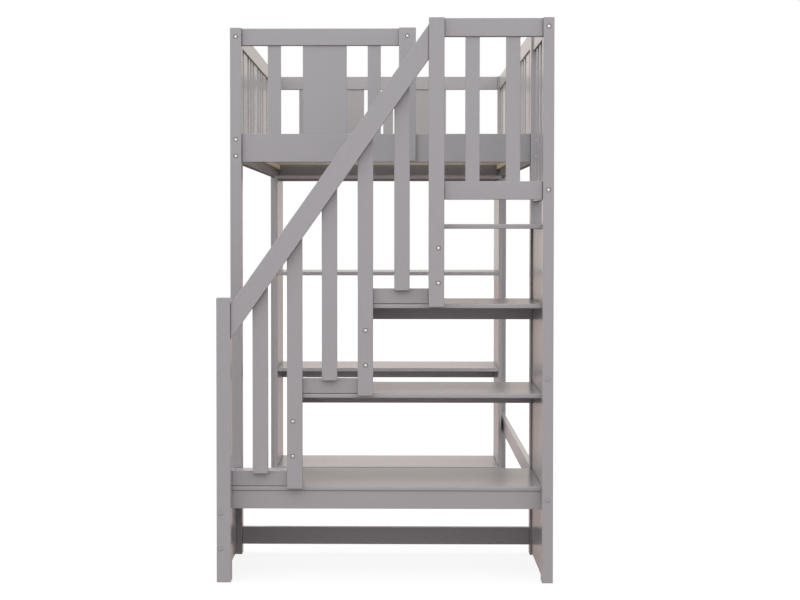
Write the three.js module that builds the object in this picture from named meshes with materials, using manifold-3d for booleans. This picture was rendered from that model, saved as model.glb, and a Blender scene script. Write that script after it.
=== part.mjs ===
// A loft bed with storage: a raised bed frame with guard rails, an open storage stair
// across its foot end, and a bookcase standing between the legs of its head end.
//
// Millimetres. X runs across the bed, +Y from the stair to the head end, +Z up.
// The origin lies on the floor, in the middle of the whole object.

import * as THREE from 'three';
import { mergeVertices } from 'three/addons/utils/BufferGeometryUtils.js';
import Module from 'manifold-3d';

const wasm = await Module();
wasm.setup();

// Driving dimensions of the bed frame, made for a mattress of 990 x 1905
const bedWidth = 1067;
const bedLength = 2005;
const legHeight = 1806.5;
const legWidth = 39;
const legDepth = 55;
const railThickness = 25;
const deckRailBottom = 1348.5;
const deckRailHeight = 97;
const guardRailBottom = 1747.3;
const guardRailHeight = 58;
const slatWidth = 45;
const panelWidth = 150.5;
const slatThickness = 14;
const tenon = 10;

// Deck of pine slats on two ledgers
const deckSlatCount = 14;
const deckSlatWidth = 65;
const deckSlatThickness = 18;
const deckTop = 1423.5;
const ledgerWidth = 12.5;
const ledgerHeight = 21;
const deckEndClearance = 3;

// Stair across the foot end: board thicknesses, heights and the run of one step
const stairDepth = 478;
const stairPostDepth = 55;
const newelWidth = 44.5;
const newelHeight = 902.5;
const wallPostOuter = 531.2;
const wallPostWidth = 34.5;
const tallPostHeight = 1785;
const stairBoardWidth = 49;
const stairBoardThickness = 24;
const stepRun = 224.8;
const treadTops = [299.2, 596, 882.5, 1136];
const treadThickness = 15;
const treadNose = 5;
const treadSetback = 56;
const panelBoard = 15;
const panelFoot = 8;
const frontApronHeight = 58;
const frontApronSetback = 3;
const rearApronHeight = 56;
const kickHeight = 48.3;
const balusterLap = 5.5;
const postLap = 5.6;
const topNewelLap = 8;

// Handrail on the rake of the stair
const handrailRise = 1.411;
const handrailWidth = 63;
const handrailThickness = 24;
const handrailSetback = 7;
const handrailEdgeAtTop = 1764.5;

// Guard round the landing, above the highest tread
const landingRailBottom = 1213;
const landingRailHeight = 58;
const landingTopRailBottom = 1726.1;
const landingSlatCentres = [275.5, 403.5];
const sideGuardSlats = 3;

// Bookcase between the legs of the head end
const bookcaseDepth = 380;
const bookcaseSide = 13;
const bookcaseFoot = 2;
const shelfThickness = 15;
const shelfTops = { bottom: 79, middle: 510.5, upper: 929.3, top: 1348.2 };
const shelfApronHeight = 57;

// Other rails
const stretcherBottom = 33;
const stretcherHeight = 59;
const wallRailBottom = 222;
const wallRailHeight = 65;
const wallRailThickness = 20;

// Counterbores that take the heads of the connecting bolts
const counterboreRadius = 8;
const counterboreDepth = 2.4;
const counterboreSides = 24;

const easing = 2;          // rounding of the painted edges
const sharpEasing = 1.2;   // rounding of thin boards
const gap = 0.3;           // clearance where two pieces meet

// Places that follow from the driving dimensions
const overallLength = stairDepth + bedLength;
const stairFront = -overallLength / 2;
const bedFoot = stairFront + stairDepth;
const bedHead = bedFoot + bedLength;
const half = bedWidth / 2;
const legInner = half - legWidth;
const footInner = bedFoot + legDepth;
const headInner = bedHead - legDepth;
const footRailY = bedFoot + legDepth / 2;
const headRailY = bedHead - legDepth / 2;
const sideRailX = half - legWidth / 2;
const deckRailTop = deckRailBottom + deckRailHeight;
const guardTop = guardRailBottom + guardRailHeight;

// Materials, one for each piece
const greyPaint = () => new THREE.MeshStandardMaterial({ color: 0xaeaaab, roughness: 0.5, metalness: 0 });
const pineWood = () => new THREE.MeshStandardMaterial({ color: 0xdfceb5, roughness: 0.65, metalness: 0 });

// How a board lies: its outline's two directions and the direction of its thickness
const lying = {
  flat: new THREE.Quaternion(),
  facing: basis([1, 0, 0], [0, 0, 1], [0, -1, 0]),
  sideways: basis([0, 1, 0], [0, 0, 1], [1, 0, 0]),
};

function basis(u, v, w) {
  const axes = [u, v, w].map((a) => new THREE.Vector3(...a));
  return new THREE.Quaternion().setFromRotationMatrix(new THREE.Matrix4().makeBasis(...axes));
}

const bed = new THREE.Group();
const stair = new THREE.Group();
const bookcase = new THREE.Group();

// A rectangle round the origin
function rectangle(width, height) {
  const x = width / 2;
  const y = height / 2;
  return new THREE.Shape([[-x, -y], [x, -y], [x, y], [-x, y]].map(([a, b]) => new THREE.Vector2(a, b)));
}

// A rectangle round the origin with rounded corners, where the upper left one can be rounder
function roundedRectangle(width, height, radius, nose = radius) {
  const shape = new THREE.Shape();
  const x = width / 2 - radius;
  const y = height / 2 - radius;
  shape.absarc(x, y, radius, 0, Math.PI / 2);
  shape.absarc(nose - width / 2, height / 2 - nose, nose, Math.PI / 2, Math.PI);
  shape.absarc(-x, -y, radius, Math.PI, 1.5 * Math.PI);
  shape.absarc(x, -y, radius, 1.5 * Math.PI, 2 * Math.PI);
  return shape;
}

// An outline given as corner points
function outline(points) {
  return new THREE.Shape(points.map(([x, y]) => new THREE.Vector2(x, y)));
}

// An outline made thick, centred on its plane, with its edges eased
function slab(shape, thickness, ease = easing) {
  const geometry = new THREE.ExtrudeGeometry(shape, {
    depth: thickness - 2 * ease,
    bevelThickness: ease,
    bevelSize: ease,
    bevelOffset: -ease,
    bevelSegments: 2,
    curveSegments: 2,
  });
  return geometry.translate(0, 0, ease - thickness / 2);
}

function place(group, name, geometry, lie, centre, material = greyPaint()) {
  const mesh = new THREE.Mesh(geometry, material);
  mesh.name = name;
  mesh.quaternion.copy(lying[lie]);
  mesh.position.set(...centre);
  group.add(mesh);
  return mesh;
}

// The low and high end of each direction, as a centre and a size
const middle = (low, high) => (low + high) / 2;

// An upright square-edged post between two heights
function post(group, name, width, depth, x, y, bottom, top) {
  const geometry = slab(roundedRectangle(width, depth, easing), top - bottom, sharpEasing);
  return place(group, name, geometry, 'flat', [x, y, middle(bottom, top)]);
}

// A board whose face looks along Y
function facingBoard(group, name, left, right, bottom, top, y, thickness, ease = easing) {
  const geometry = slab(rectangle(right - left, top - bottom), thickness, ease);
  return place(group, name, geometry, 'facing', [middle(left, right), y, middle(bottom, top)]);
}

// A board whose face looks along X
function sidewaysBoard(group, name, front, rear, bottom, top, x, thickness, ease = easing) {
  const geometry = slab(rectangle(rear - front, top - bottom), thickness, ease);
  return place(group, name, geometry, 'sideways', [x, middle(front, rear), middle(bottom, top)]);
}

// A board that lies flat
function flatBoard(group, name, left, right, front, rear, top, thickness) {
  const geometry = slab(rectangle(right - left, rear - front), thickness, sharpEasing);
  const centre = [middle(left, right), middle(front, rear), top - thickness / 2];
  return place(group, name, geometry, 'flat', centre);
}

// Solids for joining and cutting, in the whole object's own frame
function solidOf(mesh) {
  mesh.updateMatrixWorld();
  const bare = mesh.geometry.clone().deleteAttribute('normal').deleteAttribute('uv');
  const merged = mergeVertices(bare.applyMatrix4(mesh.matrixWorld), 1e-3);
  return new wasm.Manifold(new wasm.Mesh({
    numProp: 3,
    vertProperties: new Float32Array(merged.attributes.position.array),
    triVerts: new Uint32Array(merged.index.array),
  }));
}

function giveSolid(mesh, solid) {
  const result = solid.getMesh();
  const geometry = new THREE.BufferGeometry();
  geometry.setAttribute('position', new THREE.BufferAttribute(new Float32Array(result.vertProperties), 3));
  geometry.setIndex(new THREE.BufferAttribute(new Uint32Array(result.triVerts), 1));
  geometry.applyMatrix4(mesh.matrixWorld.clone().invert());
  mesh.geometry = geometry;
}

function boxSolid(low, high) {
  const size = low.map((v, i) => high[i] - v);
  const box = new THREE.Mesh(new THREE.BoxGeometry(...size));
  box.position.set(...low.map((v, i) => middle(v, high[i])));
  return solidOf(box);
}

// Cuts a mortise into the receiving rail for each slat that ends inside it
function cutMortises(rail, slats) {
  let solid = solidOf(rail);
  const railBox = new THREE.Box3().setFromObject(rail);
  for (const box of slats) {
    const slot = box.clone().expandByScalar(gap).intersect(railBox.clone().expandByScalar(1));
    solid = solid.subtract(boxSolid(slot.min.toArray(), slot.max.toArray()));
  }
  giveSolid(rail, solid);
}

// Sinks round counterbores for bolt heads into a face that looks along Y
function boreForBolts(mesh, x, faceY, heights) {
  let solid = solidOf(mesh);
  for (const z of heights) {
    const bore = wasm.Manifold.cylinder(
      2 * counterboreDepth, counterboreRadius, counterboreRadius, counterboreSides, true);
    solid = solid.subtract(bore.rotate([90, 0, 0]).translate([x, faceY, z]));
  }
  giveSolid(mesh, solid);
}

const boxOf = (mesh) => new THREE.Box3().setFromObject(mesh);

// Joins loose slats to the piece that carries them
function fuse(carrier, members) {
  let solid = solidOf(carrier);
  for (const member of members) {
    solid = solid.add(solidOf(member));
    member.removeFromParent();
  }
  giveSolid(carrier, solid);
}

// Heights of the bolts that hold the long rails and guards to the legs
const legBolts = [1368.8, 1425, 1776];

// Four legs, bored from the foot end and from the head end
function makeLegs() {
  for (const [end, y, face] of [['front', footRailY, bedFoot], ['head', headRailY, bedHead]]) {
    for (const [side, x] of [['left', -sideRailX], ['right', sideRailX]]) {
      const leg = post(bed, `${end}_${side}_leg`, legWidth, legDepth, x, y, 0, legHeight);
      boreForBolts(leg, x, face, legBolts);
    }
  }
}

// Widths of the upright members of a side guard, from the foot to the head
function sideGuardMembers() {
  const widths = [slatWidth];
  for (let i = 0; i < 4; i += 1) {
    widths.push(panelWidth, slatWidth, slatWidth);
  }
  widths.pop();
  const space = headInner - footInner - widths.reduce((sum, w) => sum + w, 0);
  const clear = space / (widths.length + 1);
  let at = footInner;
  return widths.map((width) => {
    const front = at + clear;
    at = front + width;
    return { front, rear: at };
  });
}

// Long side: the deck rail, and the guard rail with its slats let into the deck rail
function makeSide(side, x) {
  const front = footInner + gap;
  const rear = headInner - gap;
  const rail = sidewaysBoard(
    bed, `${side}_side_rail`, front, rear, deckRailBottom, deckRailTop, x, railThickness);
  const guard = sidewaysBoard(
    bed, `${side}_guard`, front, rear, guardRailBottom, guardTop, x, railThickness);
  const members = sideGuardMembers().map(({ front: from, rear: to }) => sidewaysBoard(
    bed, 'member', from, to, deckRailTop - tenon, guardRailBottom + tenon, x, slatThickness, sharpEasing));
  cutMortises(rail, members.map(boxOf));
  fuse(guard, members);
}

// Slats and panels that stand in mortises of a lower and an upper rail, facing along Y
function facingMembers(group, members, y, lower, upper) {
  const bottom = boxOf(lower).max.z - tenon;
  const top = boxOf(upper).min.z + tenon;
  const made = members.map(({ name, centre, width }) => facingBoard(
    group, name, centre - width / 2, centre + width / 2, bottom, top, y, slatThickness, sharpEasing));
  cutMortises(lower, made.map(boxOf));
  cutMortises(upper, made.map(boxOf));
}

const headGuardMembers = [
  { name: 'head_guard_slat_1', centre: -382.5, width: slatWidth },
  { name: 'head_guard_panel_1', centre: -185.5, width: panelWidth },
  { name: 'head_guard_slat_2', centre: -1, width: slatWidth },
  { name: 'head_guard_panel_2', centre: 185.5, width: panelWidth },
  { name: 'head_guard_slat_3', centre: 382.5, width: slatWidth },
];

const footGuardMembers = [
  { name: 'foot_guard_slat_1', centre: -383, width: slatWidth },
  { name: 'foot_guard_panel', centre: -210, width: panelWidth },
  { name: 'foot_guard_slat_2', centre: -40.5, width: slatWidth },
];

const entryPost = { left: 44, right: 102, bottom: 1352, boltX: 72.6, boltHeight: 1778 };

// Head end: a full-width rail with the headboard guard above it
function makeHeadEnd() {
  const left = -legInner + gap;
  const rail = facingBoard(
    bed, 'head_rail', left, -left, deckRailBottom, deckRailTop, headRailY, railThickness);
  const top = facingBoard(
    bed, 'head_guard_top_rail', left, -left, guardRailBottom, guardTop, headRailY, railThickness);
  facingMembers(bed, headGuardMembers, headRailY, rail, top);
}

// Foot end: the guard stops at a short post, which leaves the way in from the stair open
function makeFootEnd() {
  const left = -legInner + gap;
  const rail = facingBoard(
    bed, 'foot_rail', left, -left, deckRailBottom, deckRailTop, footRailY, railThickness);
  const top = facingBoard(
    bed, 'foot_guard_top_rail', left, entryPost.left - gap,
    guardRailBottom, guardTop, footRailY, railThickness);
  facingMembers(bed, footGuardMembers, footRailY, rail, top);

  // The short post is notched so that its lower half laps the face of the rail
  const face = bedFoot;
  const rear = footRailY + railThickness / 2;
  const notch = footRailY - railThickness / 2 - gap;
  const profile = outline([
    [face, entryPost.bottom], [notch, entryPost.bottom], [notch, deckRailTop + gap],
    [rear, deckRailTop + gap], [rear, legHeight], [face, legHeight],
  ]);
  const board = slab(profile, entryPost.right - entryPost.left);
  const entry = place(
    bed, 'foot_entry_post', board, 'sideways', [middle(entryPost.left, entryPost.right), 0, 0]);
  boreForBolts(entry, entryPost.boltX, face, [entryPost.boltHeight]);

  facingBoard(
    bed, 'foot_stretcher', left, -left,
    stretcherBottom, stretcherBottom + stretcherHeight, footRailY, railThickness);
}

// Pine deck: two ledgers inside the side rails carry the slats
function makeDeck() {
  const inner = sideRailX - railThickness / 2 - gap;
  const front = footInner + deckEndClearance;
  const rear = headInner - deckEndClearance;
  const slatBottom = deckTop - deckSlatThickness;
  const ledger = (side) => {
    const geometry = slab(rectangle(rear - front, ledgerHeight), ledgerWidth, sharpEasing);
    const x = side * (inner - ledgerWidth / 2);
    const z = slatBottom - ledgerHeight / 2;
    return place(bed, 'slat_deck', geometry, 'sideways', [x, middle(front, rear), z], pineWood());
  };
  const pitch = (rear - front - deckSlatWidth) / (deckSlatCount - 1);

  // Each slat is sunk a hair into the ledgers so that the deck is one body
  const sunk = 0.2;
  const members = [ledger(1)];
  for (let i = 0; i < deckSlatCount; i += 1) {
    const from = front + i * pitch;
    members.push(flatBoard(
      bed, 'slat', -inner, inner, from, from + deckSlatWidth, deckTop, deckSlatThickness + sunk));
  }
  fuse(ledger(-1), members);
}

function makeWallRail() {
  sidewaysBoard(
    bed, 'lower_wall_rail', footInner + gap, headInner - gap,
    wallRailBottom, wallRailBottom + wallRailHeight, sideRailX, wallRailThickness);
}

// Bookcase: two sides, four shelves and a stiffening apron under the middle shelf
function makeBookcase() {
  const rear = bedHead;
  const front = rear - bookcaseDepth;
  const outer = legInner - gap;
  const inner = outer - bookcaseSide - gap;
  const sideTop = shelfTops.top - shelfThickness - gap;
  for (const [side, sign] of [['left', -1], ['right', 1]]) {
    const x = sign * (outer - bookcaseSide / 2);
    sidewaysBoard(
      bookcase, `bookcase_${side}_side`, front, rear, bookcaseFoot, sideTop, x, bookcaseSide, sharpEasing);
  }
  for (const level of ['bottom', 'middle', 'upper']) {
    const top = shelfTops[level];
    flatBoard(bookcase, `bookcase_${level}_shelf`, -inner, inner, front, rear, top, shelfThickness);
  }
  flatBoard(bookcase, 'bookcase_top', -outer, outer, front, rear, shelfTops.top, shelfThickness);
  const apronTop = shelfTops.middle - shelfThickness - gap;
  const apronBottom = apronTop - shelfApronHeight;
  const apronY = rear - panelBoard / 2;
  facingBoard(
    bookcase, 'bookcase_back_apron', -inner, inner, apronBottom, apronTop, apronY, panelBoard, sharpEasing);
}

// Layers of the stair, from its front: handrail, upright boards, then treads and kick rails
const treadFront = stairFront + treadSetback;
const treadRear = bedFoot - gap;
const uprightY = treadFront - gap - stairBoardThickness / 2;
const handrailY = stairFront + handrailSetback + handrailThickness / 2;

// Centre lines of the two stepped posts and the top newel, and of the balusters between them
const newelRight = -half + newelWidth;
const topNewelX = 162.1;
const steppedPostX = [topNewelX - 2 * stepRun, topNewelX - stepRun, topNewelX];
const balusterX = [-397, -176.7, 53.3];
const dividerX = [-293.3, -62.2, 168];
const topNewelLeft = topNewelX - stairBoardWidth / 2;
const topNewelRight = topNewelX + stairBoardWidth / 2;
const wallPostX = wallPostOuter - wallPostWidth / 2;
const wallPostLeft = wallPostOuter - wallPostWidth;
const wallPanelInner = 501;
const leftPanelInner = -513.7;
const leftPanelX = leftPanelInner - panelBoard / 2;

// Heights of the bolts in the faces of the stair's posts
const newelBolts = [106.7, 219.5];
const wallPostBolts = [262.8, 645.8, 1243.3, 1756.5];
const steppedPostBolts = [[397, 508], [687, 798], [949.5, 1060]];

// Height of the handrail's upper edge above a place across the stair
const handrailEdge = (x) => handrailEdgeAtTop + handrailRise * (x - topNewelLeft);
const handrailDrop = handrailWidth * Math.hypot(1, handrailRise);

// A stair upright whose top is cut on the rake and hidden behind the handrail
function rakedUpright(name, x, bottom) {
  const left = x - stairBoardWidth / 2;
  const right = x + stairBoardWidth / 2;
  const hidden = handrailDrop / 4;
  const shape = outline([
    [left, bottom], [right, bottom],
    [right, handrailEdge(right) - hidden], [left, handrailEdge(left) - hidden],
  ]);
  return place(stair, name, slab(shape, stairBoardThickness), 'facing', [0, uprightY, 0]);
}

// The posts, bolted to the side panels and to the dividers behind them
function makeStairPosts() {
  const y = stairFront + stairPostDepth / 2;
  const newelX = -half + newelWidth / 2;
  const newel = post(stair, 'stair_newel', newelWidth, stairPostDepth, newelX, y, 0, newelHeight);
  boreForBolts(newel, leftPanelX, stairFront, newelBolts);
  const wallPost = post(
    stair, 'stair_wall_post', wallPostWidth, stairPostDepth, wallPostX, y, 0, tallPostHeight);
  boreForBolts(wallPost, wallPostX, stairFront, wallPostBolts);
  const steppedPosts = [
    rakedUpright('stair_post_1', steppedPostX[0], treadTops[0] - postLap),
    rakedUpright('stair_post_2', steppedPostX[1], treadTops[1] - postLap),
    post(
      stair, 'stair_top_newel', stairBoardWidth, stairPostDepth, topNewelX, y,
      treadTops[2] - topNewelLap, tallPostHeight),
  ];
  steppedPosts.forEach((mesh, i) => {
    boreForBolts(mesh, dividerX[i], boxOf(mesh).min.y, steppedPostBolts[i]);
  });
  balusterX.forEach((x, i) => {
    rakedUpright(`baluster_${i + 1}`, x, treadTops[i] + kickHeight - balusterLap);
  });
}

// The handrail runs on the rake between the newels, with both ends cut plumb
function makeHandrail() {
  const left = newelRight + gap;
  const right = topNewelLeft - gap;
  const shape = outline([
    [left, handrailEdge(left) - handrailDrop], [right, handrailEdge(right) - handrailDrop],
    [right, handrailEdge(right)], [left, handrailEdge(left)],
  ]);
  place(stair, 'handrail', slab(shape, handrailThickness), 'facing', [0, handrailY, 0]);
}

// Each tread starts at the divider below it and runs to the wall panel, with a rounded nose
function makeTreads() {
  const starts = [leftPanelInner + gap, ...dividerX.map((x) => x - panelBoard / 2)];
  const right = wallPanelInner - gap;
  treadTops.forEach((top, i) => {
    const section = roundedRectangle(treadRear - treadFront, treadThickness, easing, treadNose);
    const board = slab(section, right - starts[i], sharpEasing);
    const centre = [middle(starts[i], right), middle(treadFront, treadRear), top - treadThickness / 2];
    place(stair, `tread_${i + 1}`, board, 'sideways', centre);
  });

  // Dividers carry the next tread and close the left side of each open box
  dividerX.forEach((x, i) => {
    const bottom = treadTops[i] + gap;
    const top = treadTops[i + 1] - treadThickness - gap;
    sidewaysBoard(
      stair, `tread_divider_${i + 1}`, treadFront, treadRear, bottom, top, x, panelBoard, sharpEasing);
  });

  // Kick rails stand on the front edge of the treads, from divider to divider
  dividerX.forEach((x, i) => {
    const end = x - panelBoard / 2 - gap;
    const bottom = treadTops[i] + gap;
    const top = treadTops[i] + kickHeight;
    const y = treadFront + stairBoardThickness / 2;
    facingBoard(
      stair, `kick_rail_${i + 1}`, starts[i], end, bottom, top, y, stairBoardThickness, sharpEasing);
  });

  // Aprons stiffen the long treads: at the front of the lowest, at the back of the next two
  const under = (i) => treadTops[i] - treadThickness - gap;
  const frontY = treadFront + frontApronSetback + panelBoard / 2;
  facingBoard(
    stair, 'tread_1_front_apron', starts[0], right,
    under(0) - frontApronHeight, under(0), frontY, panelBoard, sharpEasing);
  for (const i of [1, 2]) {
    const left = dividerX[i - 1] + panelBoard / 2 + gap;
    const y = treadRear - panelBoard / 2;
    facingBoard(
      stair, `tread_${i + 1}_back_apron`, left, right,
      under(i) - rearApronHeight, under(i), y, panelBoard, sharpEasing);
  }
}

// Side panels of the stair box
function makeStairPanels() {
  const front = stairFront + stairPostDepth + gap;
  const panels = [
    ['stair_wall_panel', wallPanelInner + panelBoard / 2, treadTops[3]],
    ['stair_left_panel', leftPanelX, treadTops[0]],
  ];
  for (const [name, x, top] of panels) {
    sidewaysBoard(stair, name, front, treadRear, panelFoot, top, x, panelBoard, sharpEasing);
  }
}

// Landing guard: two rails and two slats in front, and a side frame towards the wall
function makeLandingGuard() {
  const left = topNewelRight + gap;
  const right = wallPostLeft - gap;
  const y = stairFront + stairPostDepth / 2;
  const lowTop = landingRailBottom + landingRailHeight;
  const topTop = landingTopRailBottom + landingRailHeight;
  const low = facingBoard(
    stair, 'landing_guard_low_rail', left, right, landingRailBottom, lowTop, y, railThickness);
  const top = facingBoard(
    stair, 'landing_guard_top_rail', left, right, landingTopRailBottom, topTop, y, railThickness);
  const members = landingSlatCentres.map(
    (centre, i) => ({ name: `landing_guard_slat_${i + 1}`, centre, width: slatWidth }));
  facingMembers(stair, members, y, low, top);

  const front = stairFront + stairPostDepth + gap;
  const rear = bedFoot - gap;
  const x = wallPostX;
  const frame = sidewaysBoard(
    stair, 'landing_side_guard', front, rear, landingTopRailBottom, topTop, x, railThickness);
  const parts = [
    sidewaysBoard(stair, 'rail', front, rear, landingRailBottom, lowTop, x, railThickness),
  ];
  const clear = (rear - front - sideGuardSlats * slatWidth) / (sideGuardSlats + 1);
  const bottomOfSlats = lowTop - tenon;
  const topOfSlats = landingTopRailBottom + tenon;
  for (let i = 0; i < sideGuardSlats; i += 1) {
    const from = front + clear + i * (clear + slatWidth);
    parts.push(sidewaysBoard(
      stair, 'slat', from, from + slatWidth, bottomOfSlats, topOfSlats, x, slatThickness, sharpEasing));
  }
  fuse(frame, parts);
}

makeLegs();
makeSide('left', -sideRailX);
makeSide('right', sideRailX);
makeHeadEnd();
makeFootEnd();
makeDeck();
makeWallRail();
makeBookcase();
makeStairPosts();
makeHandrail();
makeTreads();
makeStairPanels();
makeLandingGuard();

const loftBed = new THREE.Group();
loftBed.add(bed, stair, bookcase);

export default loftBed;
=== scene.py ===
"""The looks of a loft bed with a storage stair and a bookcase.

Satin grey paint, bare pine slats and zinc fasteners. Metres: +X runs across the bed to the wall side,
+Y from the stair to the head end, +Z up.
"""

import math

import bmesh
import bpy
from mathutils import Matrix, Quaternion, Vector


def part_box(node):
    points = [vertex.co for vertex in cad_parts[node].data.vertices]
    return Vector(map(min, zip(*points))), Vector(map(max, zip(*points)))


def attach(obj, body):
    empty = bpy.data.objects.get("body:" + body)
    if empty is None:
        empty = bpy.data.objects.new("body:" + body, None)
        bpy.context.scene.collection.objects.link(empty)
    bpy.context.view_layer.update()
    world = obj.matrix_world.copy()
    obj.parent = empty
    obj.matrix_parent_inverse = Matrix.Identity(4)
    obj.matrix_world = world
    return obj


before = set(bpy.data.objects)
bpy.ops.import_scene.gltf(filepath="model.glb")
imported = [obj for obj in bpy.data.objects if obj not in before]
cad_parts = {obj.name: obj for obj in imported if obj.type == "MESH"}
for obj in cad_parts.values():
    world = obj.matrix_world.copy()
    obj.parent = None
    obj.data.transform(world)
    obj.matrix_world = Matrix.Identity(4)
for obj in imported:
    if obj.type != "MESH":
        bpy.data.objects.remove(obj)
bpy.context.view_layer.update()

# The camera of the photograph: its place, its turn and the part of its picture that the photograph keeps
CAMERA_PLACE = Vector((0.0333, -6.7652, 1.1311))
CAMERA_YAW = 0.0134
CAMERA_PITCH = 0.0269
CAMERA_ROLL = 0.0003
LENS_MM = 78.9
SENSOR_MM = 36
CAMERA_SHIFT = (0.0348, -0.0341)

# Colours, as shares of the light that a surface gives back
GREY = (0.42, 0.402, 0.406, 1)
# Paler grey on eased edges, partly rubbed wear and partly a painted highlight
GREY_EDGE_WEAR_AND_HIGHLIGHT = (0.50, 0.482, 0.484, 1)
# Near-black: the colour of grain pores, and also painted shade in joints and on undersides
GREY_PORE_AND_PAINTED_SHADE = (0.045, 0.038, 0.040, 1)
GREY_CAP = (0.44, 0.424, 0.428, 1)
PINE_EARLY = (0.87, 0.76, 0.59, 1)
PINE_LATE = (0.72, 0.55, 0.35, 1)
# Dark brown of knots, also used for painted shade in the pine's joints
PINE_KNOT_AND_PAINTED_SHADE = (0.26, 0.15, 0.08, 1)
ZINC = (0.82, 0.82, 0.80, 1)

# Masks of edges, joints and undersides: how wide they reach, the readings between which each comes or
# goes, and the shares of the edge mask that uneven wear leaves to the rubbed edges and their painted
# highlight
EDGE_WIDTH = 0.002
JOINT_REACH = 0.006
EDGE_TURN = (0.01, 0.22)
JOINT_SHELTER = (0.25, 0.7)
FACES_DOWN = (-0.95, -0.5)
UNEVEN_EDGE_WEAR_AND_HIGHLIGHT = (0.45, 1.0)
EDGE_WEAR_AND_HIGHLIGHT_SCALE = 45.0
MASK_SAMPLES = 6

# A stretch that leaves a pattern even, and the middle range that most of a noise lies in
EVEN = (1, 1, 1)
NOISE_MIDDLE = (0.3, 0.7)

# Wood grain under paint: how often it repeats in a metre, and the readings that count as a pore
BAND_SCALE = 55.0
PORE_SCALE = 420.0
PORE_READINGS = (0.56, 0.74)
DRIFT_SCALE = 2.3

# The sprayed coat: how often it repeats in a metre, how rare its specks are, and their size
PEEL_SCALE = 650.0
SPECK_SCALE = 60.0
SPECK_LOTS = (0.93, 1.0)
SPECK_SIZES = (0.0, 0.06)

# Grey paint: how strongly each mark shades or tints it
SHADED_PAINT = 0.72
DRIFT_SHARE = 0.06
BAND_SHARE = 0.05
PORE_SHARE = 0.05
# Paler edges: partly wear, partly a painted highlight
EDGE_WEAR_AND_HIGHLIGHT_SHARE = 0.12
# Painted shade in joints, where boards meet and shade falls
PAINTED_JOINT_SHADE_SHARE = 0.9

# Its roughness, what the film, joints and edges add or take, and its shine in the open and in shelter
PAINT_ROUGHNESS = 0.25
PEEL_ROUGHNESS = 0.03
JOINT_ROUGHNESS = 0.2
EDGE_POLISH = 0.06
OPEN_SHINE = 0.5
SHELTERED_SHINE = 0.1

# Undersides get one thin coat, which stays dull, and are made a little darker as painted shade
PAINTED_UNDERSIDE_SHADE = 0.25
UNDERSIDE_ROUGHNESS = 0.8

# Relief of the surfaces, in metres. That of a pore is a share of its grain's.
SOLID_GRAIN_DEPTH = 0.00006
SHEET_GRAIN_DEPTH = 0.00002
PORE_DEPTH_SHARE = 0.5
FILM_DEPTH = 0.00004
PINE_DEPTH = 0.00012
ZINC_DEPTH = 0.00002
CAP_DEPTH = 0.00003

# Painted boards by the direction of their grain. Sheet boards are smooth, and keep a trace only. On the
# side guards most of what shows is upright.
GRAIN_ALONG = {
    "x": (0.05, 1.0, 1.0),
    "y": (1.0, 0.05, 1.0),
    "z": (1.0, 1.0, 0.05),
}
SHEET_BOARDS = ("tread_", "bookcase_", "stair_wall_panel", "stair_left_panel")
UPRIGHT_GUARDS = ("left_guard", "right_guard", "landing_side_guard")

# The pine deck's slats, which the deck node holds as one solid
SLAT_COUNT = 14
SLAT_WIDTH = 0.065

# Growth rings: their width, how they sway and lean, and how far the heart of the trunk is from a slat
RING_WIDTH = 0.0042
RING_SHARPNESS = 2.6
RING_SWAY = 0.014
SWAY_STRETCH = (1, 4, 4)
SWAY_SCALE = 2.2
HEART_ASIDE = (0.01, 0.06)
HEART_BELOW = (0.02, 0.055)
RING_RAKE = (-0.05, 0.05)

# Knots and fibre: how they are drawn out along a slat, and the size and soft rim of a knot
KNOT_STRETCH = (3.2, 7.0, 0.4)
KNOT_LOTS = (0.55, 1.0)
KNOT_SIZES = (0.0, 0.055)
KNOT_RIM = (-0.01, 0.02)
FIBRE_STRETCH = (14, 900, 900)
FIBRE_READINGS = (0.35, 0.75)

# Bare pine: how strongly each mark tints it, and its roughness. The joint mark is painted shade.
PINE_RING_SHARE = 0.55
DULL_PINE = 0.82
PINE_TONE_SHARE = 0.45
PINE_FIBRE_SHARE = 0.22
PINE_KNOT_SHARE = 0.85
PINE_PAINTED_JOINT_SHADE_SHARE = 0.6
PINE_ROUGHNESS = 0.6
PINE_ROUGHNESS_RANGE = (0.52, 0.68)

# Zinc and the plastic of the caps: their mottling and their roughness
ZINC_SCALE = 900.0
DULL_ZINC = 0.8
ZINC_ROUGHNESS = 0.28
ZINC_ROUGHNESS_RANGE = (0.22, 0.36)
CAP_SCALE = 1100.0
WORN_CAP = 0.85
CAP_ROUGHNESS = 0.6
CAP_ROUGHNESS_RANGE = (0.55, 0.68)

# Smooth shading: how near points are welded, and the steepest bend that shades round on boards and heads
WELD_DISTANCE = 1e-5
ROUND_BOARD_BEND = math.radians(50)
ROUND_HEAD_BEND = math.radians(35)
FLAT_FACE_WEIGHT = 100

# Fasteners. A head's root goes a little below its seat, and its rim stands a little above a flat face.
COUNTERBORE_DEPTH = 0.0024
HEAD_ROOT = -0.001
RIM_LIFT = 0.0001
RECESS_TAPER = 0.92
RING_STEPS = 24
DOME_STEPS = 4

# Bolt heads. The rim is a share of the height, and the flat land round the socket a share of its radius.
BOLT_HEAD_RADIUS = 0.0052
BOLT_HEAD_HEIGHT = 0.0019
BOLT_RIM_SHARE = 0.25
SOCKET_RADIUS = 0.0020
SOCKET_DEPTH = 0.0012
SOCKET_LAND = 1.3

# Caps, barrel nuts and screws. Shares are of the head's radius, and that of a cap's rim is of its height.
# The cross's waist and arm are shares of its own radius, and the slot's width is twice its share.
CAP_RADIUS = 0.0077
CAP_HEIGHT = 0.0022
CAP_RIM_SHARE = 0.55
CAP_CROWN_SHARE = 0.3
CAP_DIMPLE_SHARE = 0.2
CAP_DIMPLE_DEPTH = 0.0002

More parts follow.
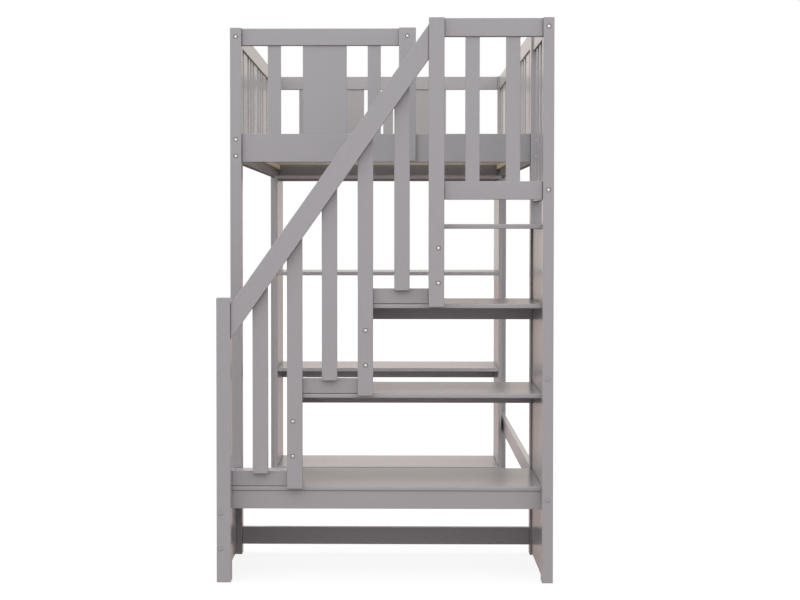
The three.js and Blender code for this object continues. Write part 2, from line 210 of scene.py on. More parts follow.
NUT_RADIUS = 0.0050
NUT_HEIGHT = 0.0004
NUT_CROWN_SHARE = 0.93
SLOT_LENGTH_SHARE = 0.85
SLOT_WIDTH_SHARE = 0.2
SLOT_DEPTH = 0.0007

SCREW_HEAD_RADIUS = 0.0039
SCREW_HEIGHT = 0.0003
SCREW_CROWN_SHARE = 0.9
CROSS_RADIUS_SHARE = 0.6
CROSS_WAIST = 0.42
CROSS_ARM = 0.58
CROSS_DEPTH = 0.0009

# Where the counterbores are, in metres across and up
BED_BOLT_X = 0.514
RAIL_BOLT_HEIGHTS = (1.3688, 1.425)
GUARD_BOLT_HEIGHTS = (1.776,)
ENTRY_BOLT = (0.0726, 1.778)
WALL_POST_BOLT_X = 0.51395
STAIR_BOLTS = {
    "stair_wall_post": (WALL_POST_BOLT_X, (1.2433, 1.7565)),
    "stair_top_newel": (0.168, (0.9495, 1.060)),
    "stair_post_1": (-0.2933, (0.397, 0.508)),
    "stair_post_2": (-0.0622, (0.687, 0.798)),
}
CAPPED_BOLTS = {
    "stair_wall_post": (WALL_POST_BOLT_X, (0.2628, 0.6458)),
    "stair_newel": (-0.5212, (0.1067, 0.2195)),
}

# Nuts and screws: how far they are from a rail's end, from a slat's end and from the front of the
# bookcase's sides, and the shares of a slat's width where its screws are
NUT_INSET = 0.045
SLAT_SCREW_INSET = 0.0063
SHELF_SCREW_INSETS = (0.05, 0.27)
SLAT_SCREW_SHARES = (0.28, 0.72)
FIXED_SHELVES = ("bottom", "middle", "upper")

# The floor: its own colour, what it gives back to the object, and how it looks to the camera and in
# shiny surfaces
FLOOR_REACH = 30.0
FLOOR_ROUGHNESS = 0.9
FLOOR = (0.13, 0.13, 0.13, 1)
FLOOR_BOUNCE = (0.15, 0.115, 0.12, 1)
FLOOR_GLOW = (0.87, 0.87, 0.87, 1)
FLOOR_SHEEN = (0.51, 0.40, 0.35, 1)

# The studio's dome: the light of each side, even from the floor up, with a little more from overhead
FRONT_LIGHT = (1.39, 1.38, 1.41)
BACK_LIGHT = (0.88, 0.87, 0.87)
LEFT_LIGHT = (1.40, 1.46, 1.54)
RIGHT_LIGHT = (1.00, 1.05, 1.12)
TOP_LIGHT = (0.15, 0.15, 0.15)
TOP_FOCUS = 4.0

# The square of a direction's length, kept just over one so that straight up never divides by zero
UNIT_SQUARE = 1.0001

# The backdrop is white to the camera. A shiny surface reflects it in one colour on the left and another
# on the right, which is reached a little past the middle. It takes over from the dome towards the back.
BACKDROP_SEEN = (1, 1, 1, 1)
BACKDROP_LEFT = (1.0, 0.90, 0.83)
BACKDROP_RIGHT = (0.84, 0.76, 0.70)
BACKDROP_TURN = (0.0, 0.12)
BACKDROP_START = (0.2, 0.6)

X_AXIS = Vector((1, 0, 0))
Y_AXIS = Vector((0, 1, 0))
Z_AXIS = Vector((0, 0, 1))


# Node trees

def new_group(name, inputs, outputs):
    """An empty shader group. Inputs are (name, kind, value), and outputs are (name, kind)."""
    tree = bpy.data.node_groups.new(name, "ShaderNodeTree")
    for label, kind, value in inputs:
        item = tree.interface.new_socket(name=label, in_out="INPUT", socket_type=f"NodeSocket{kind}")
        item.default_value = value
    for label, kind in outputs:
        tree.interface.new_socket(name=label, in_out="OUTPUT", socket_type=f"NodeSocket{kind}")
    return tree, tree.nodes.new("NodeGroupInput").outputs, tree.nodes.new("NodeGroupOutput").inputs


def feed(tree, socket, value):
    """Joins a node's output to a socket, or sets the socket's own value."""
    if isinstance(value, bpy.types.NodeSocket):
        tree.links.new(value, socket)
    else:
        socket.default_value = value


def node(tree, kind, settings=None, **inputs):
    """A shader node with its settings, and its inputs by name with underscores for spaces."""
    made = tree.nodes.new(f"ShaderNode{kind}")
    for key, value in (settings or {}).items():
        setattr(made, key, value)
    for key, value in inputs.items():
        feed(tree, made.inputs[key.replace("_", " ")], value)
    return made


def use_group(tree, group, **inputs):
    """A group's outputs, with its inputs by name with underscores for spaces."""
    made = tree.nodes.new("ShaderNodeGroup")
    made.node_tree = group
    for key, value in inputs.items():
        feed(tree, made.inputs[key.replace("_", " ")], value)
    return made.outputs


def maths(tree, operation, a, b=0.0):
    made = tree.nodes.new("ShaderNodeMath")
    made.operation = operation
    feed(tree, made.inputs[0], a)
    feed(tree, made.inputs[1], b)
    return made.outputs[0]


def plus(tree, a, b):
    return maths(tree, "ADD", a, b)


def minus(tree, a, b):
    return maths(tree, "SUBTRACT", a, b)


def times(tree, a, b):
    return maths(tree, "MULTIPLY", a, b)


def vector_maths(tree, operation, a, b):
    made = tree.nodes.new("ShaderNodeVectorMath")
    made.operation = operation
    feed(tree, made.inputs[0], a)
    feed(tree, made.inputs[1], b)
    return made.outputs


def spread(tree, value, low, high, to_low=0.0, to_high=1.0):
    """A value's range, stretched to another with its ends held."""
    made = node(tree, "MapRange", Value=value)
    for key, number in (("From Min", low), ("From Max", high), ("To Min", to_low), ("To Max", to_high)):
        feed(tree, made.inputs[key], number)
    return made.outputs["Result"]


def swing(tree, value, to_low, to_high):
    """A noise whose middle range is stretched to run between two values."""
    return spread(tree, value, *NOISE_MIDDLE, to_low, to_high)


def drawn(tree, share, to_low, to_high):
    """A random share from 0 to 1, turned into a value between two others."""
    return spread(tree, share, 0.0, 1.0, to_low, to_high)


def blend_colours(tree, share, first, second):
    made = tree.nodes.new("ShaderNodeMix")
    made.data_type = "RGBA"
    feed(tree, made.inputs[0], share)
    feed(tree, made.inputs[6], first)
    feed(tree, made.inputs[7], second)
    return made.outputs[2]


def tint(tree, colour, mask, share, towards):
    """A colour, drawn towards another by a share of a mask."""
    return blend_colours(tree, times(tree, mask, share), colour, towards)


def darker(colour, share):
    return tuple(c * share for c in colour[:3]) + (1,)


def scaled_place(tree, stretch):
    """The place on the object, multiplied in each direction."""
    place = tree.nodes.new("ShaderNodeTexCoord").outputs["Object"]
    return vector_maths(tree, "MULTIPLY", place, stretch)[0]


def noise(tree, vector, scale, detail=3.0, roughness=0.55):
    made = node(tree, "TexNoise", Vector=vector, Scale=scale, Detail=detail, Roughness=roughness)
    return made.outputs["Fac"]


def raised(tree, height, distance, under=None):
    """A surface normal that follows a height, on top of another normal."""
    made = node(tree, "Bump", Height=height, Distance=distance, Strength=1.0)
    if under is not None:
        feed(tree, made.inputs["Normal"], under)
    return made.outputs["Normal"]


# Shader groups

def eased_edges_group():
    """Where an outer edge is rounded, where two boards meet in a narrow joint, and what faces down."""
    tree, given, gives = new_group(
        "eased_edges",
        [("Edge Width", "Float", EDGE_WIDTH), ("Joint Reach", "Float", JOINT_REACH)],
        [("Edge", "Float"), ("Joint", "Float"), ("Underside", "Float")])
    samples = {"samples": MASK_SAMPLES}
    rounded = node(tree, "Bevel", samples, Radius=given["Edge Width"]).outputs[0]
    flat = tree.nodes.new("ShaderNodeNewGeometry").outputs["Normal"]
    upward = node(tree, "SeparateXYZ", Vector=flat).outputs["Z"]
    feed(tree, gives["Underside"], spread(tree, upward, *FACES_DOWN, 1.0, 0.0))
    likeness = vector_maths(tree, "DOT_PRODUCT", rounded, flat)["Value"]
    turned = minus(tree, 1.0, likeness)
    # The edge mask, broken up unevenly, carries both rubbed wear and a painted highlight
    wear_and_highlight_noise = noise(tree, scaled_place(tree, EVEN), EDGE_WEAR_AND_HIGHLIGHT_SCALE, detail=4.0)
    edge = spread(tree, turned, *EDGE_TURN)
    feed(tree, gives["Edge"], times(tree, edge, swing(tree, wear_and_highlight_noise, *UNEVEN_EDGE_WEAR_AND_HIGHLIGHT)))
    # Ambient occlusion finds the joints, which the paint darkens as painted shade and makes duller
    shelter = node(tree, "AmbientOcclusion", samples, Distance=given["Joint Reach"]).outputs["AO"]
    feed(tree, gives["Joint"], spread(tree, shelter, *JOINT_SHELTER, 1.0, 0.0))
    return tree


def board_grain_group():
    """Wood grain along one direction: broad bands, fine pores, and a slow drift of tone."""
    tree, given, gives = new_group(
        "board_grain",
        [("Stretch", "Vector", (1.0, 1.0, 1.0))],
        [("Bands", "Float"), ("Pores", "Float"), ("Drift", "Float")])
    along = scaled_place(tree, given["Stretch"])
    feed(tree, gives["Bands"], noise(tree, along, BAND_SCALE, detail=5.0, roughness=0.6))
    pores = noise(tree, along, PORE_SCALE, detail=2.0, roughness=0.5)
    feed(tree, gives["Pores"], spread(tree, pores, *PORE_READINGS))
    feed(tree, gives["Drift"], noise(tree, scaled_place(tree, EVEN), DRIFT_SCALE, detail=2.0))
    return tree


def sprayed_film_group():
    """The fine unevenness of a sprayed coat, with a rare speck."""
    tree, given, gives = new_group(
        "sprayed_film", [("Peel Scale", "Float", PEEL_SCALE)], [("Peel", "Float"), ("Speck", "Float")])
    place = scaled_place(tree, EVEN)
    feed(tree, gives["Peel"], noise(tree, place, given["Peel Scale"], detail=2.0, roughness=0.5))
    cells = node(tree, "TexVoronoi", Vector=place, Scale=SPECK_SCALE)
    size = spread(tree, cells.outputs["Color"], *SPECK_LOTS, *SPECK_SIZES)
    feed(tree, gives["Speck"], maths(tree, "LESS_THAN", cells.outputs["Distance"], size))
    return tree


def pine_figure_group():
    """Growth rings and knots of flat sawn pine, from another part of the trunk for each slat."""
    tree, given, gives = new_group(
        "pine_figure",
        [("First Slat", "Float", 0.0), ("Slat Pitch", "Float", 0.14),
         ("Ring Width", "Float", RING_WIDTH)],
        [("Ring", "Float"), ("Knot", "Float"), ("Fibre", "Float"), ("Tone", "Float")])
    place = tree.nodes.new("ShaderNodeTexCoord").outputs["Object"]
    parts = node(tree, "SeparateXYZ", Vector=place).outputs
    past_first = minus(tree, parts["Y"], given["First Slat"])
    number = maths(tree, "FLOOR", maths(tree, "DIVIDE", past_first, given["Slat Pitch"]))
    own = node(tree, "TexWhiteNoise", {"noise_dimensions": "1D"}, W=number)
    shift = node(tree, "SeparateColor", Color=own.outputs["Color"]).outputs
    centre = plus(tree, given["First Slat"], times(tree, number, given["Slat Pitch"]))

    wander = noise(tree, scaled_place(tree, SWAY_STRETCH), SWAY_SCALE, detail=2.0)
    sway = swing(tree, wander, -RING_SWAY, RING_SWAY)
    across = plus(tree, minus(tree, parts["Y"], centre), sway)
    across = minus(tree, across, drawn(tree, shift["Red"], *HEART_ASIDE))
    rake = times(tree, parts["X"], drawn(tree, shift["Blue"], *RING_RAKE))
    depth = plus(tree, rake, drawn(tree, shift["Green"], *HEART_BELOW))
    square = plus(tree, times(tree, across, across), times(tree, depth, depth))
    rings = maths(tree, "DIVIDE", maths(tree, "SQRT", square), given["Ring Width"])
    within = maths(tree, "FRACT", rings)
    feed(tree, gives["Ring"], maths(tree, "POWER", within, RING_SHARPNESS))

    cells = node(tree, "TexVoronoi", Vector=scaled_place(tree, KNOT_STRETCH), Scale=1.0)
    lot = node(tree, "SeparateColor", Color=cells.outputs["Color"]).outputs["Red"]
    size = spread(tree, lot, *KNOT_LOTS, *KNOT_SIZES)
    inside = minus(tree, size, cells.outputs["Distance"])
    feed(tree, gives["Knot"], spread(tree, inside, *KNOT_RIM))
    feed(tree, gives["Fibre"], noise(tree, scaled_place(tree, FIBRE_STRETCH), 1.0))
    feed(tree, gives["Tone"], own.outputs["Value"])
    return tree


EASED_EDGES = eased_edges_group()
BOARD_GRAIN = board_grain_group()
SPRAYED_FILM = sprayed_film_group()
PINE_FIGURE = pine_figure_group()


# Materials

def new_material(name, roughness, metallic=0.0):
    """A material with one Principled shader, its tree and that shader's inputs."""
    material = bpy.data.materials.new(name)
    material.use_nodes = True
    tree = material.node_tree
    shader = tree.nodes["Principled BSDF"]
    shader.inputs["Roughness"].default_value = roughness
    shader.inputs["Metallic"].default_value = metallic
    return material, tree, shader.inputs


def paint_colour(tree, edges, grain):
    """Grey drifting with grain, edges paler by wear and painted highlight, joints and undersides painted
    shade.
    """
    drift = swing(tree, grain["Drift"], 0.0, DRIFT_SHARE)
    tone = plus(tree, drift, swing(tree, grain["Bands"], 0.0, BAND_SHARE))
    colour = blend_colours(tree, tone, GREY, darker(GREY, SHADED_PAINT))
    colour = tint(tree, colour, grain["Pores"], PORE_SHARE, GREY_PORE_AND_PAINTED_SHADE)
    # Edges paled by wear and by a painted highlight
    colour = tint(tree, colour, edges["Edge"], EDGE_WEAR_AND_HIGHLIGHT_SHARE, GREY_EDGE_WEAR_AND_HIGHLIGHT)
    # Painted shade in the joints
    colour = tint(tree, colour, edges["Joint"], PAINTED_JOINT_SHADE_SHARE, GREY_PORE_AND_PAINTED_SHADE)
    # Painted shade on faces that look down
    return tint(tree, colour, edges["Underside"], PAINTED_UNDERSIDE_SHADE, GREY_PORE_AND_PAINTED_SHADE)


def paint_roughness(tree, edges, film):
    """Satin, smoother on edges, and duller in joints and underneath."""
    low = PAINT_ROUGHNESS - PEEL_ROUGHNESS
    high = PAINT_ROUGHNESS + PEEL_ROUGHNESS
    gloss = swing(tree, film["Peel"], low, high)
    gloss = plus(tree, gloss, times(tree, edges["Joint"], JOINT_ROUGHNESS))
    gloss = minus(tree, gloss, times(tree, edges["Edge"], EDGE_POLISH))
    dullness = times(tree, edges["Underside"], UNDERSIDE_ROUGHNESS - PAINT_ROUGHNESS)
    return plus(tree, gloss, dullness)


def paint(name, stretch, grain_depth):
    """Satin grey paint over wood whose grain runs where stretch is small."""
    material, tree, shader = new_material(name, PAINT_ROUGHNESS)
    edges = use_group(tree, EASED_EDGES)
    grain = use_group(tree, BOARD_GRAIN, Stretch=stretch)
    film = use_group(tree, SPRAYED_FILM)
    feed(tree, shader["Base Color"], paint_colour(tree, edges, grain))
    feed(tree, shader["Roughness"], paint_roughness(tree, edges, film))
    sheltered = maths(tree, "MAXIMUM", edges["Underside"], edges["Joint"])
    shine = spread(tree, sheltered, 0.0, 1.0, OPEN_SHINE, SHELTERED_SHINE)
    feed(tree, shader["Specular IOR Level"], shine)
    body = raised(tree, grain["Bands"], grain_depth)
    body = raised(tree, minus(tree, 1.0, grain["Pores"]), grain_depth * PORE_DEPTH_SHARE, body)
    skin = raised(tree, plus(tree, film["Peel"], film["Speck"]), FILM_DEPTH, body)
    feed(tree, shader["Normal"], skin)
    return material


def deck_rhythm():
    """The deck's lowest and highest corners, and the distance from one slat to the next."""
    low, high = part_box("slat_deck")
    pitch = (high.y - low.y - SLAT_WIDTH) / (SLAT_COUNT - 1)
    return low, high, pitch


def bare_pine():
    """Planed pine, bare of paint, with painted shade in its joints."""
    low, _, pitch = deck_rhythm()
    half_gap = (pitch - SLAT_WIDTH) / 2
    material, tree, shader = new_material("bare_pine", PINE_ROUGHNESS)
    figure = use_group(tree, PINE_FIGURE, First_Slat=low.y - half_gap, Slat_Pitch=pitch)
    edges = use_group(tree, EASED_EDGES)
    colour = tint(tree, PINE_EARLY, figure["Ring"], PINE_RING_SHARE, PINE_LATE)
    colour = tint(tree, colour, figure["Tone"], PINE_TONE_SHARE, darker(PINE_EARLY, DULL_PINE))
    fibre = spread(tree, figure["Fibre"], *FIBRE_READINGS, 0.0, PINE_FIBRE_SHARE)
    colour = blend_colours(tree, fibre, colour, PINE_LATE)
    colour = tint(tree, colour, figure["Knot"], PINE_KNOT_SHARE, PINE_KNOT_AND_PAINTED_SHADE)
    # Painted shade in the joints of the slats
    colour = tint(tree, colour, edges["Joint"], PINE_PAINTED_JOINT_SHADE_SHARE, PINE_KNOT_AND_PAINTED_SHADE)
    feed(tree, shader["Base Color"], colour)
    feed(tree, shader["Roughness"], swing(tree, figure["Fibre"], *PINE_ROUGHNESS_RANGE))
    relief = plus(tree, figure["Fibre"], figure["Ring"])
    feed(tree, shader["Normal"], raised(tree, relief, PINE_DEPTH))
    return material


def mottle(tree, shader, pattern, colour, dulled, roughness_range, depth):
    """Lets a fine pattern darken a surface, vary its gloss and raise it a little."""
    feed(tree, shader["Base Color"], blend_colours(tree, pattern, colour, darker(colour, dulled)))
    feed(tree, shader["Roughness"], swing(tree, pattern, *roughness_range))
    feed(tree, shader["Normal"], raised(tree, pattern, depth))


def zinc_plate():
    """Bright zinc on small fasteners."""
    material, tree, shader = new_material("zinc_plate", ZINC_ROUGHNESS, metallic=1.0)
    crystals = noise(tree, scaled_place(tree, EVEN), ZINC_SCALE)
    mottle(tree, shader, crystals, ZINC, DULL_ZINC, ZINC_ROUGHNESS_RANGE, ZINC_DEPTH)
    return material


def cap_plastic():
    """Matt grey plastic on the caps over the lower bolts."""
    material, tree, shader = new_material("cap_plastic", CAP_ROUGHNESS)
    moulded = noise(tree, scaled_place(tree, EVEN), CAP_SCALE, detail=2.0)
    mottle(tree, shader, moulded, GREY_CAP, WORN_CAP, CAP_ROUGHNESS_RANGE, CAP_DEPTH)
    return material


# Boards

def grain_direction(name):
    """The longest side of a board's box, except on the side guards."""
    if name in UPRIGHT_GUARDS:
        return "z"
    low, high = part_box(name)
    sides = high - low
    return "xyz"[max(range(3), key=lambda i: sides[i])]


def paints_by_grain(kind, grain_depth):
    """One paint for each direction of the grain."""
    return {axis: paint(f"grey_{kind}_along_{axis}", stretch, grain_depth)
            for axis, stretch in GRAIN_ALONG.items()}


def dress_cad_pieces():
    """Gives every carried-over piece its finish, and smooth eased edges."""
    solid_paint = paints_by_grain("paint", SOLID_GRAIN_DEPTH)
    sheet_paint = paints_by_grain("sheet", SHEET_GRAIN_DEPTH)
    pine = bare_pine()
    smooth = smooth_edges_tree()
    for name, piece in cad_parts.items():
        if name == "slat_deck":
            finish = pine
        elif name.startswith(SHEET_BOARDS):
            finish = sheet_paint[grain_direction(name)]
        else:
            finish = solid_paint[grain_direction(name)]
        for material_slot in piece.material_slots:
            material_slot.material = finish
        add_smooth_edges(piece, smooth)


def smooth_edges_tree():
    """Geometry nodes that weld a faceted mesh and shade its small bevels as one round edge."""
    tree = bpy.data.node_groups.new("smooth_eased_edges", "GeometryNodeTree")
    for direction in ("INPUT", "OUTPUT"):
        tree.interface.new_socket(name="Geometry", in_out=direction, socket_type="NodeSocketGeometry")
    given = tree.nodes.new("NodeGroupInput")
    gives = tree.nodes.new("NodeGroupOutput")
    weld = tree.nodes.new("GeometryNodeMergeByDistance")
    weld.inputs["Distance"].default_value = WELD_DISTANCE
    faces = tree.nodes.new("GeometryNodeSetShadeSmooth")
    faces.inputs["Shade Smooth"].default_value = True
    edges = tree.nodes.new("GeometryNodeSetShadeSmooth")
    edges.domain = "EDGE"
    angle = tree.nodes.new("GeometryNodeInputMeshEdgeAngle")
    gentle = tree.nodes.new("FunctionNodeCompare")
    gentle.operation = "LESS_THAN"
    gentle.inputs["B"].default_value = ROUND_BOARD_BEND
    links = tree.links
    links.new(given.outputs[0], weld.inputs["Geometry"])
    links.new(weld.outputs["Geometry"], faces.inputs["Geometry"])
    links.new(faces.outputs["Geometry"], edges.inputs["Geometry"])
    links.new(angle.outputs["Unsigned Angle"], gentle.inputs["A"])
    links.new(gentle.outputs[0], edges.inputs["Shade Smooth"])
    links.new(edges.outputs["Geometry"], gives.inputs[0])
    return tree


def add_smooth_edges(piece, tree):
    piece.modifiers.new("smooth_eased_edges", "NODES").node_group = tree
    weighted = piece.modifiers.new("flat_faces_stay_flat", "WEIGHTED_NORMAL")
    weighted.weight = FLAT_FACE_WEIGHT
    weighted.keep_sharp = True


# Fasteners

def ring(bm, place, radius, height, shape):
    """A closed ring of points: round, or the outline of a recess."""
    points = []
    for i in range(RING_STEPS):
        angle = 2 * math.pi * i / RING_STEPS
        reach = radius * shape(angle)
        point = Vector((reach * math.cos(angle), reach * math.sin(angle), height))
        points.append(bm.verts.new(place @ point))
    return points


def round_shape(angle):
    return 1.0


def six_sided(angle):
    """How far a hexagon of inner radius one reaches at an angle."""
    step = math.pi / 3
    return 1 / math.cos((angle + step / 2) % step - step / 2)


def crossed(angle):
    """How far a cross with four arms reaches at an angle."""
    return CROSS_WAIST + CROSS_ARM * abs(math.cos(2 * angle)) ** 3


def slotted(angle):
    """How far a straight driver slot reaches at an angle."""
    almost_none = 1e-6
    return min(1.0, SLOT_WIDTH_SHARE / max(abs(math.sin(angle)), almost_none))


def add_head(bm, place, profile, shape, recess_radius, recess_depth):
    """A turned head from its root to its crown, with a driver recess, closed at the back.

    The profile holds (radius, height) pairs.
    """
    rings = [ring(bm, place, radius, height, round_shape) for radius, height in profile]
    crown = profile[-1][1]
    rings.append(ring(bm, place, recess_radius, crown, shape))
    rings.append(ring(bm, place, recess_radius * RECESS_TAPER, crown - recess_depth, shape))
    centre = bm.verts.new(place @ Vector((0, 0, crown - recess_depth)))
    for i in range(RING_STEPS):
        j = (i + 1) % RING_STEPS
        for outer, inner in zip(rings, rings[1:]):
            bm.faces.new((outer[i], outer[j], inner[j], inner[i]))
        bm.faces.new((rings[-1][i], rings[-1][j], centre))
    bm.faces.new(list(reversed(rings[0])))


def facing(point, outward):
    """A place on a surface, with its own +Z looking out of it."""
    return Matrix.Translation(point) @ outward.to_track_quat("Z", "Y").to_matrix().to_4x4()


def counterbore_floor(point, outward):
    return facing(point - outward * COUNTERBORE_DEPTH, outward)


def domed_profile(radius, height, crown_radius, rim_share):
    """A low dome from a rim, which is a share of its height, to the flat round its recess."""
    rim = height * rim_share
    profile = [(radius, HEAD_ROOT), (radius, rim)]
    for i in range(1, DOME_STEPS + 1):
        turn = math.pi / 2 * i / DOME_STEPS
        reach = crown_radius + (radius - crown_radius) * math.cos(turn)
        profile.append((reach, rim + (height - rim) * math.sin(turn)))
    return profile


def flat_profile(radius, height, crown_share):
    """A head almost flush with its face, with one small chamfer."""
    return [(radius, HEAD_ROOT), (radius, RIM_LIFT), (radius * crown_share, height)]


def bolt(point, outward):
    """A domed head that sits on the floor of its counterbore."""
    land = SOCKET_RADIUS * SOCKET_LAND
    profile = domed_profile(BOLT_HEAD_RADIUS, BOLT_HEAD_HEIGHT, land, BOLT_RIM_SHARE)
    return counterbore_floor(point, outward), profile, six_sided, SOCKET_RADIUS, SOCKET_DEPTH


def cover_cap(point, outward):
    """A low domed cap pressed over a bolt, with its crown just below the face."""
    profile = domed_profile(CAP_RADIUS, CAP_HEIGHT, CAP_RADIUS * CAP_CROWN_SHARE, CAP_RIM_SHARE)
    dimple = CAP_RADIUS * CAP_DIMPLE_SHARE
    return counterbore_floor(point, outward), profile, round_shape, dimple, CAP_DIMPLE_DEPTH


def barrel_nut(point, outward):
    profile = flat_profile(NUT_RADIUS, NUT_HEIGHT, NUT_CROWN_SHARE)
    return facing(point, outward), profile, slotted, NUT_RADIUS * SLOT_LENGTH_SHARE, SLOT_DEPTH


def wood_screw(point, outward):
    profile = flat_profile(SCREW_HEAD_RADIUS, SCREW_HEIGHT, SCREW_CROWN_SHARE)
    return facing(point, outward), profile, crossed, SCREW_HEAD_RADIUS * CROSS_RADIUS_SHARE, CROSS_DEPTH


def fastener_piece(name, heads, finish):
    """One piece that holds all the heads of a kind.

    Each head is (place, profile, recess shape, recess radius, recess depth).
    """
    bm = bmesh.new()
    for head in heads:
        add_head(bm, *head)
    bmesh.ops.recalc_face_normals(bm, faces=bm.faces)
    mesh = bpy.data.meshes.new(name)
    bm.to_mesh(mesh)
    bm.free()
    for face in mesh.polygons:
        face.use_smooth = True
    mesh.set_sharp_from_angle(angle=ROUND_HEAD_BEND)
    mesh.materials.append(finish)
    piece = bpy.data.objects.new(name, mesh)
    bpy.context.scene.collection.objects.link(piece)
    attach(piece, "root")


def bed_bolts():
    """Bolts through the legs into the ends of the long rails, and one through the entry post."""
    heads = []
    for leg, outward in (("front", -Y_AXIS), ("head", Y_AXIS)):
        for side, x in (("left", -BED_BOLT_X), ("right", BED_BOLT_X)):
            low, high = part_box(f"{leg}_{side}_leg")
            face = low.y if outward.y < 0 else high.y
            for height in RAIL_BOLT_HEIGHTS + GUARD_BOLT_HEIGHTS:
                heads.append(bolt(Vector((x, face, height)), outward))
    low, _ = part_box("foot_entry_post")
    x, height = ENTRY_BOLT
    heads.append(bolt(Vector((x, low.y, height)), -Y_AXIS))
    return heads


def stair_heads(places, make):
    """Heads in the front faces of the stair's posts."""
    heads = []
    for name, (x, heights) in places.items():
        low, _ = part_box(name)
        for height in heights:
            heads.append(make(Vector((x, low.y, height)), -Y_AXIS))
    return heads


def rail_nuts():
    """Barrel nuts in the inner faces of the long rails, which the bolts draw up to."""
    heads = []
    for side, inward in (("left", X_AXIS), ("right", -X_AXIS)):
        rails = ((f"{side}_side_rail", RAIL_BOLT_HEIGHTS), (f"{side}_guard", GUARD_BOLT_HEIGHTS))
        for rail, heights in rails:
            low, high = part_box(rail)
            face = high.x if inward.x > 0 else low.x
            for end, sign in ((low.y, 1), (high.y, -1)):
                for height in heights:
                    point = Vector((face, end + sign * NUT_INSET, height))
                    heads.append(barrel_nut(point, inward))
    return heads


def deck_screws():
    """Two screws at each end of every slat."""
    low, high, pitch = deck_rhythm()
    heads = []
    for i in range(SLAT_COUNT):
        for across in SLAT_SCREW_SHARES:
            y = low.y + i * pitch + across * SLAT_WIDTH
            for x in (low.x + SLAT_SCREW_INSET, high.x - SLAT_SCREW_INSET):
                heads.append(wood_screw(Vector((x, y, high.z)), Z_AXIS))
    return heads


def bookcase_screws():
    """Screws through the sides into the ends of the shelves."""
    heads = []
    for side, outward in (("left", -X_AXIS), ("right", X_AXIS)):
        low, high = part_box(f"bookcase_{side}_side")
        face = low.x if outward.x < 0 else high.x
        for level in FIXED_SHELVES:
            shelf_low, shelf_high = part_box(f"bookcase_{level}_shelf")
            height = (shelf_low.z + shelf_high.z) / 2
            for inset in SHELF_SCREW_INSETS:
                heads.append(wood_screw(Vector((face, low.y + inset, height)), outward))
    return heads


def add_fasteners():
    zinc = zinc_plate()
    fastener_piece("bed_bolts", bed_bolts(), zinc)
    fastener_piece("stair_bolts", stair_heads(STAIR_BOLTS, bolt), zinc)
    caps = stair_heads(CAPPED_BOLTS, cover_cap)
    fastener_piece("stair_bolt_caps", caps, cap_plastic())
    fastener_piece("rail_barrel_nuts", rail_nuts(), zinc)
    fastener_piece("deck_screws", deck_screws(), zinc)
    fastener_piece("bookcase_screws", bookcase_screws(), zinc)


# Camera, light and floor

def add_camera():
    data = bpy.data.cameras.new("camera")
    data.sensor_width = SENSOR_MM
    data.lens = LENS_MM
    data.shift_x, data.shift_y = CAMERA_SHIFT
    camera = bpy.data.objects.new("camera", data)
    camera.location = CAMERA_PLACE
    turn = Quaternion(Z_AXIS, CAMERA_YAW) @ Quaternion(X_AXIS, math.pi / 2 - CAMERA_PITCH)
    camera.rotation_mode = "QUATERNION"
    camera.rotation_quaternion = turn @ Quaternion(Z_AXIS, CAMERA_ROLL)
    bpy.context.scene.collection.objects.link(camera)
    bpy.context.scene.camera = camera


def side_share(tree, along, sign, level):
    """The share of a level direction that faces one side. The four sides' shares add up to one."""
    towards = maths(tree, "MAXIMUM", times(tree, along, sign), 0.0)
    return maths(tree, "DIVIDE", times(tree, towards, towards), level)


def studio_dome(tree):
    """The dome's colour in each direction, with soft light from the four sides and from above."""
    direction = tree.nodes.new("ShaderNodeTexCoord").outputs["Generated"]
    parts = node(tree, "SeparateXYZ", Vector=direction).outputs
    level = minus(tree, UNIT_SQUARE, times(tree, parts["Z"], parts["Z"]))
    sides = (("Y", -1, FRONT_LIGHT), ("Y", 1, BACK_LIGHT), ("X", -1, LEFT_LIGHT), ("X", 1, RIGHT_LIGHT))
    shares = [(side_share(tree, parts[axis], sign, level), colour) for axis, sign, colour in sides]
    above = maths(tree, "MAXIMUM", parts["Z"], 0.0)
    shares.append((maths(tree, "POWER", above, TOP_FOCUS), TOP_LIGHT))
    total = (0.0, 0.0, 0.0)
    for share, colour in shares:
        scaled = node(tree, "VectorMath", {"operation": "SCALE"}, Scale=share)
        feed(tree, scaled.inputs[0], colour)
        total = vector_maths(tree, "ADD", total, scaled.outputs[0])[0]
    return total, parts


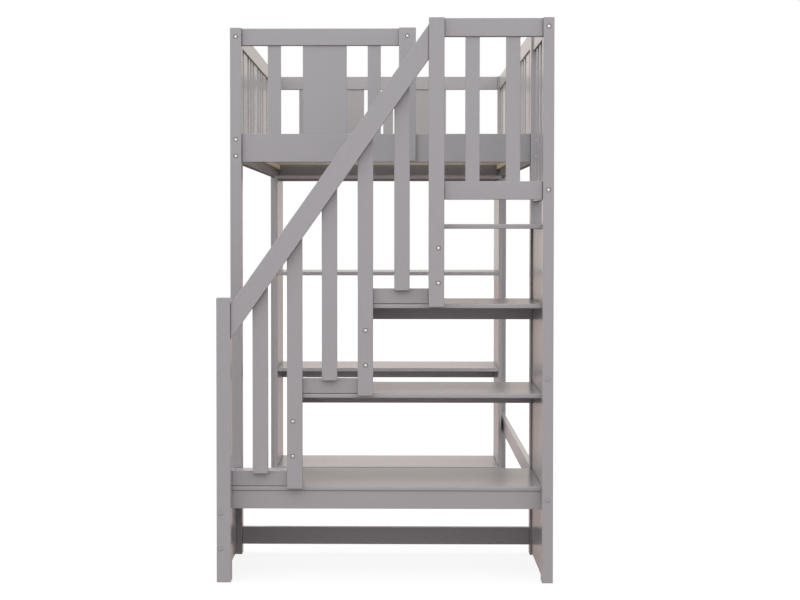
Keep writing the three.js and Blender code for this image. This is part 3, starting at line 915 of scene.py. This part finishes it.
def add_world():
    """The studio's dome, with a backdrop that the camera sees white and shiny surfaces see warm."""
    world = bpy.data.worlds.new("studio")
    bpy.context.scene.world = world
    world.use_nodes = True
    tree = world.node_tree
    colour, parts = studio_dome(tree)
    dome = tree.nodes["Background"]
    feed(tree, dome.inputs["Color"], colour)
    seen = tree.nodes.new("ShaderNodeLightPath").outputs
    backdrop = node(tree, "Background", Strength=1.0)
    rightward = spread(tree, parts["X"], *BACKDROP_TURN)
    wall = blend_colours(tree, rightward, BACKDROP_LEFT + (1,), BACKDROP_RIGHT + (1,))
    feed(tree, backdrop.inputs["Color"], blend_colours(tree, seen["Is Camera Ray"], wall, BACKDROP_SEEN))
    reflected = maths(tree, "MAXIMUM", seen["Is Glossy Ray"], seen["Is Transmission Ray"])
    behind = times(tree, reflected, spread(tree, parts["Y"], *BACKDROP_START))
    mixed = tree.nodes.new("ShaderNodeMixShader")
    feed(tree, mixed.inputs[0], maths(tree, "MAXIMUM", seen["Is Camera Ray"], behind))
    feed(tree, mixed.inputs[1], dome.outputs[0])
    feed(tree, mixed.inputs[2], backdrop.outputs[0])
    feed(tree, tree.nodes["World Output"].inputs["Surface"], mixed.outputs[0])


def floor_material():
    """A pale floor that reads as white to the camera, and keeps a faint shadow of the object."""
    material, tree, shader = new_material("pale_floor", FLOOR_ROUGHNESS)
    seen = tree.nodes.new("ShaderNodeLightPath").outputs
    feed(tree, shader["Base Color"], blend_colours(tree, seen["Is Camera Ray"], FLOOR_BOUNCE, FLOOR))
    glow = blend_colours(tree, seen["Is Camera Ray"], FLOOR_SHEEN, FLOOR_GLOW)
    feed(tree, shader["Emission Color"], glow)
    lit = maths(tree, "MAXIMUM", seen["Is Camera Ray"], seen["Is Glossy Ray"])
    feed(tree, shader["Emission Strength"], lit)
    return material


def add_floor():
    mesh = bpy.data.meshes.new("floor")
    reach = FLOOR_REACH
    corners = [(-reach, -reach, 0), (reach, -reach, 0), (reach, reach, 0), (-reach, reach, 0)]
    mesh.from_pydata(corners, [], [(0, 1, 2, 3)])
    mesh.materials.append(floor_material())
    floor = bpy.data.objects.new("floor", mesh)
    bpy.context.scene.collection.objects.link(floor)


add_camera()
add_world()
add_floor()
dress_cad_pieces()
add_fasteners()
bpy.context.scene.view_settings.view_transform = "Standard"
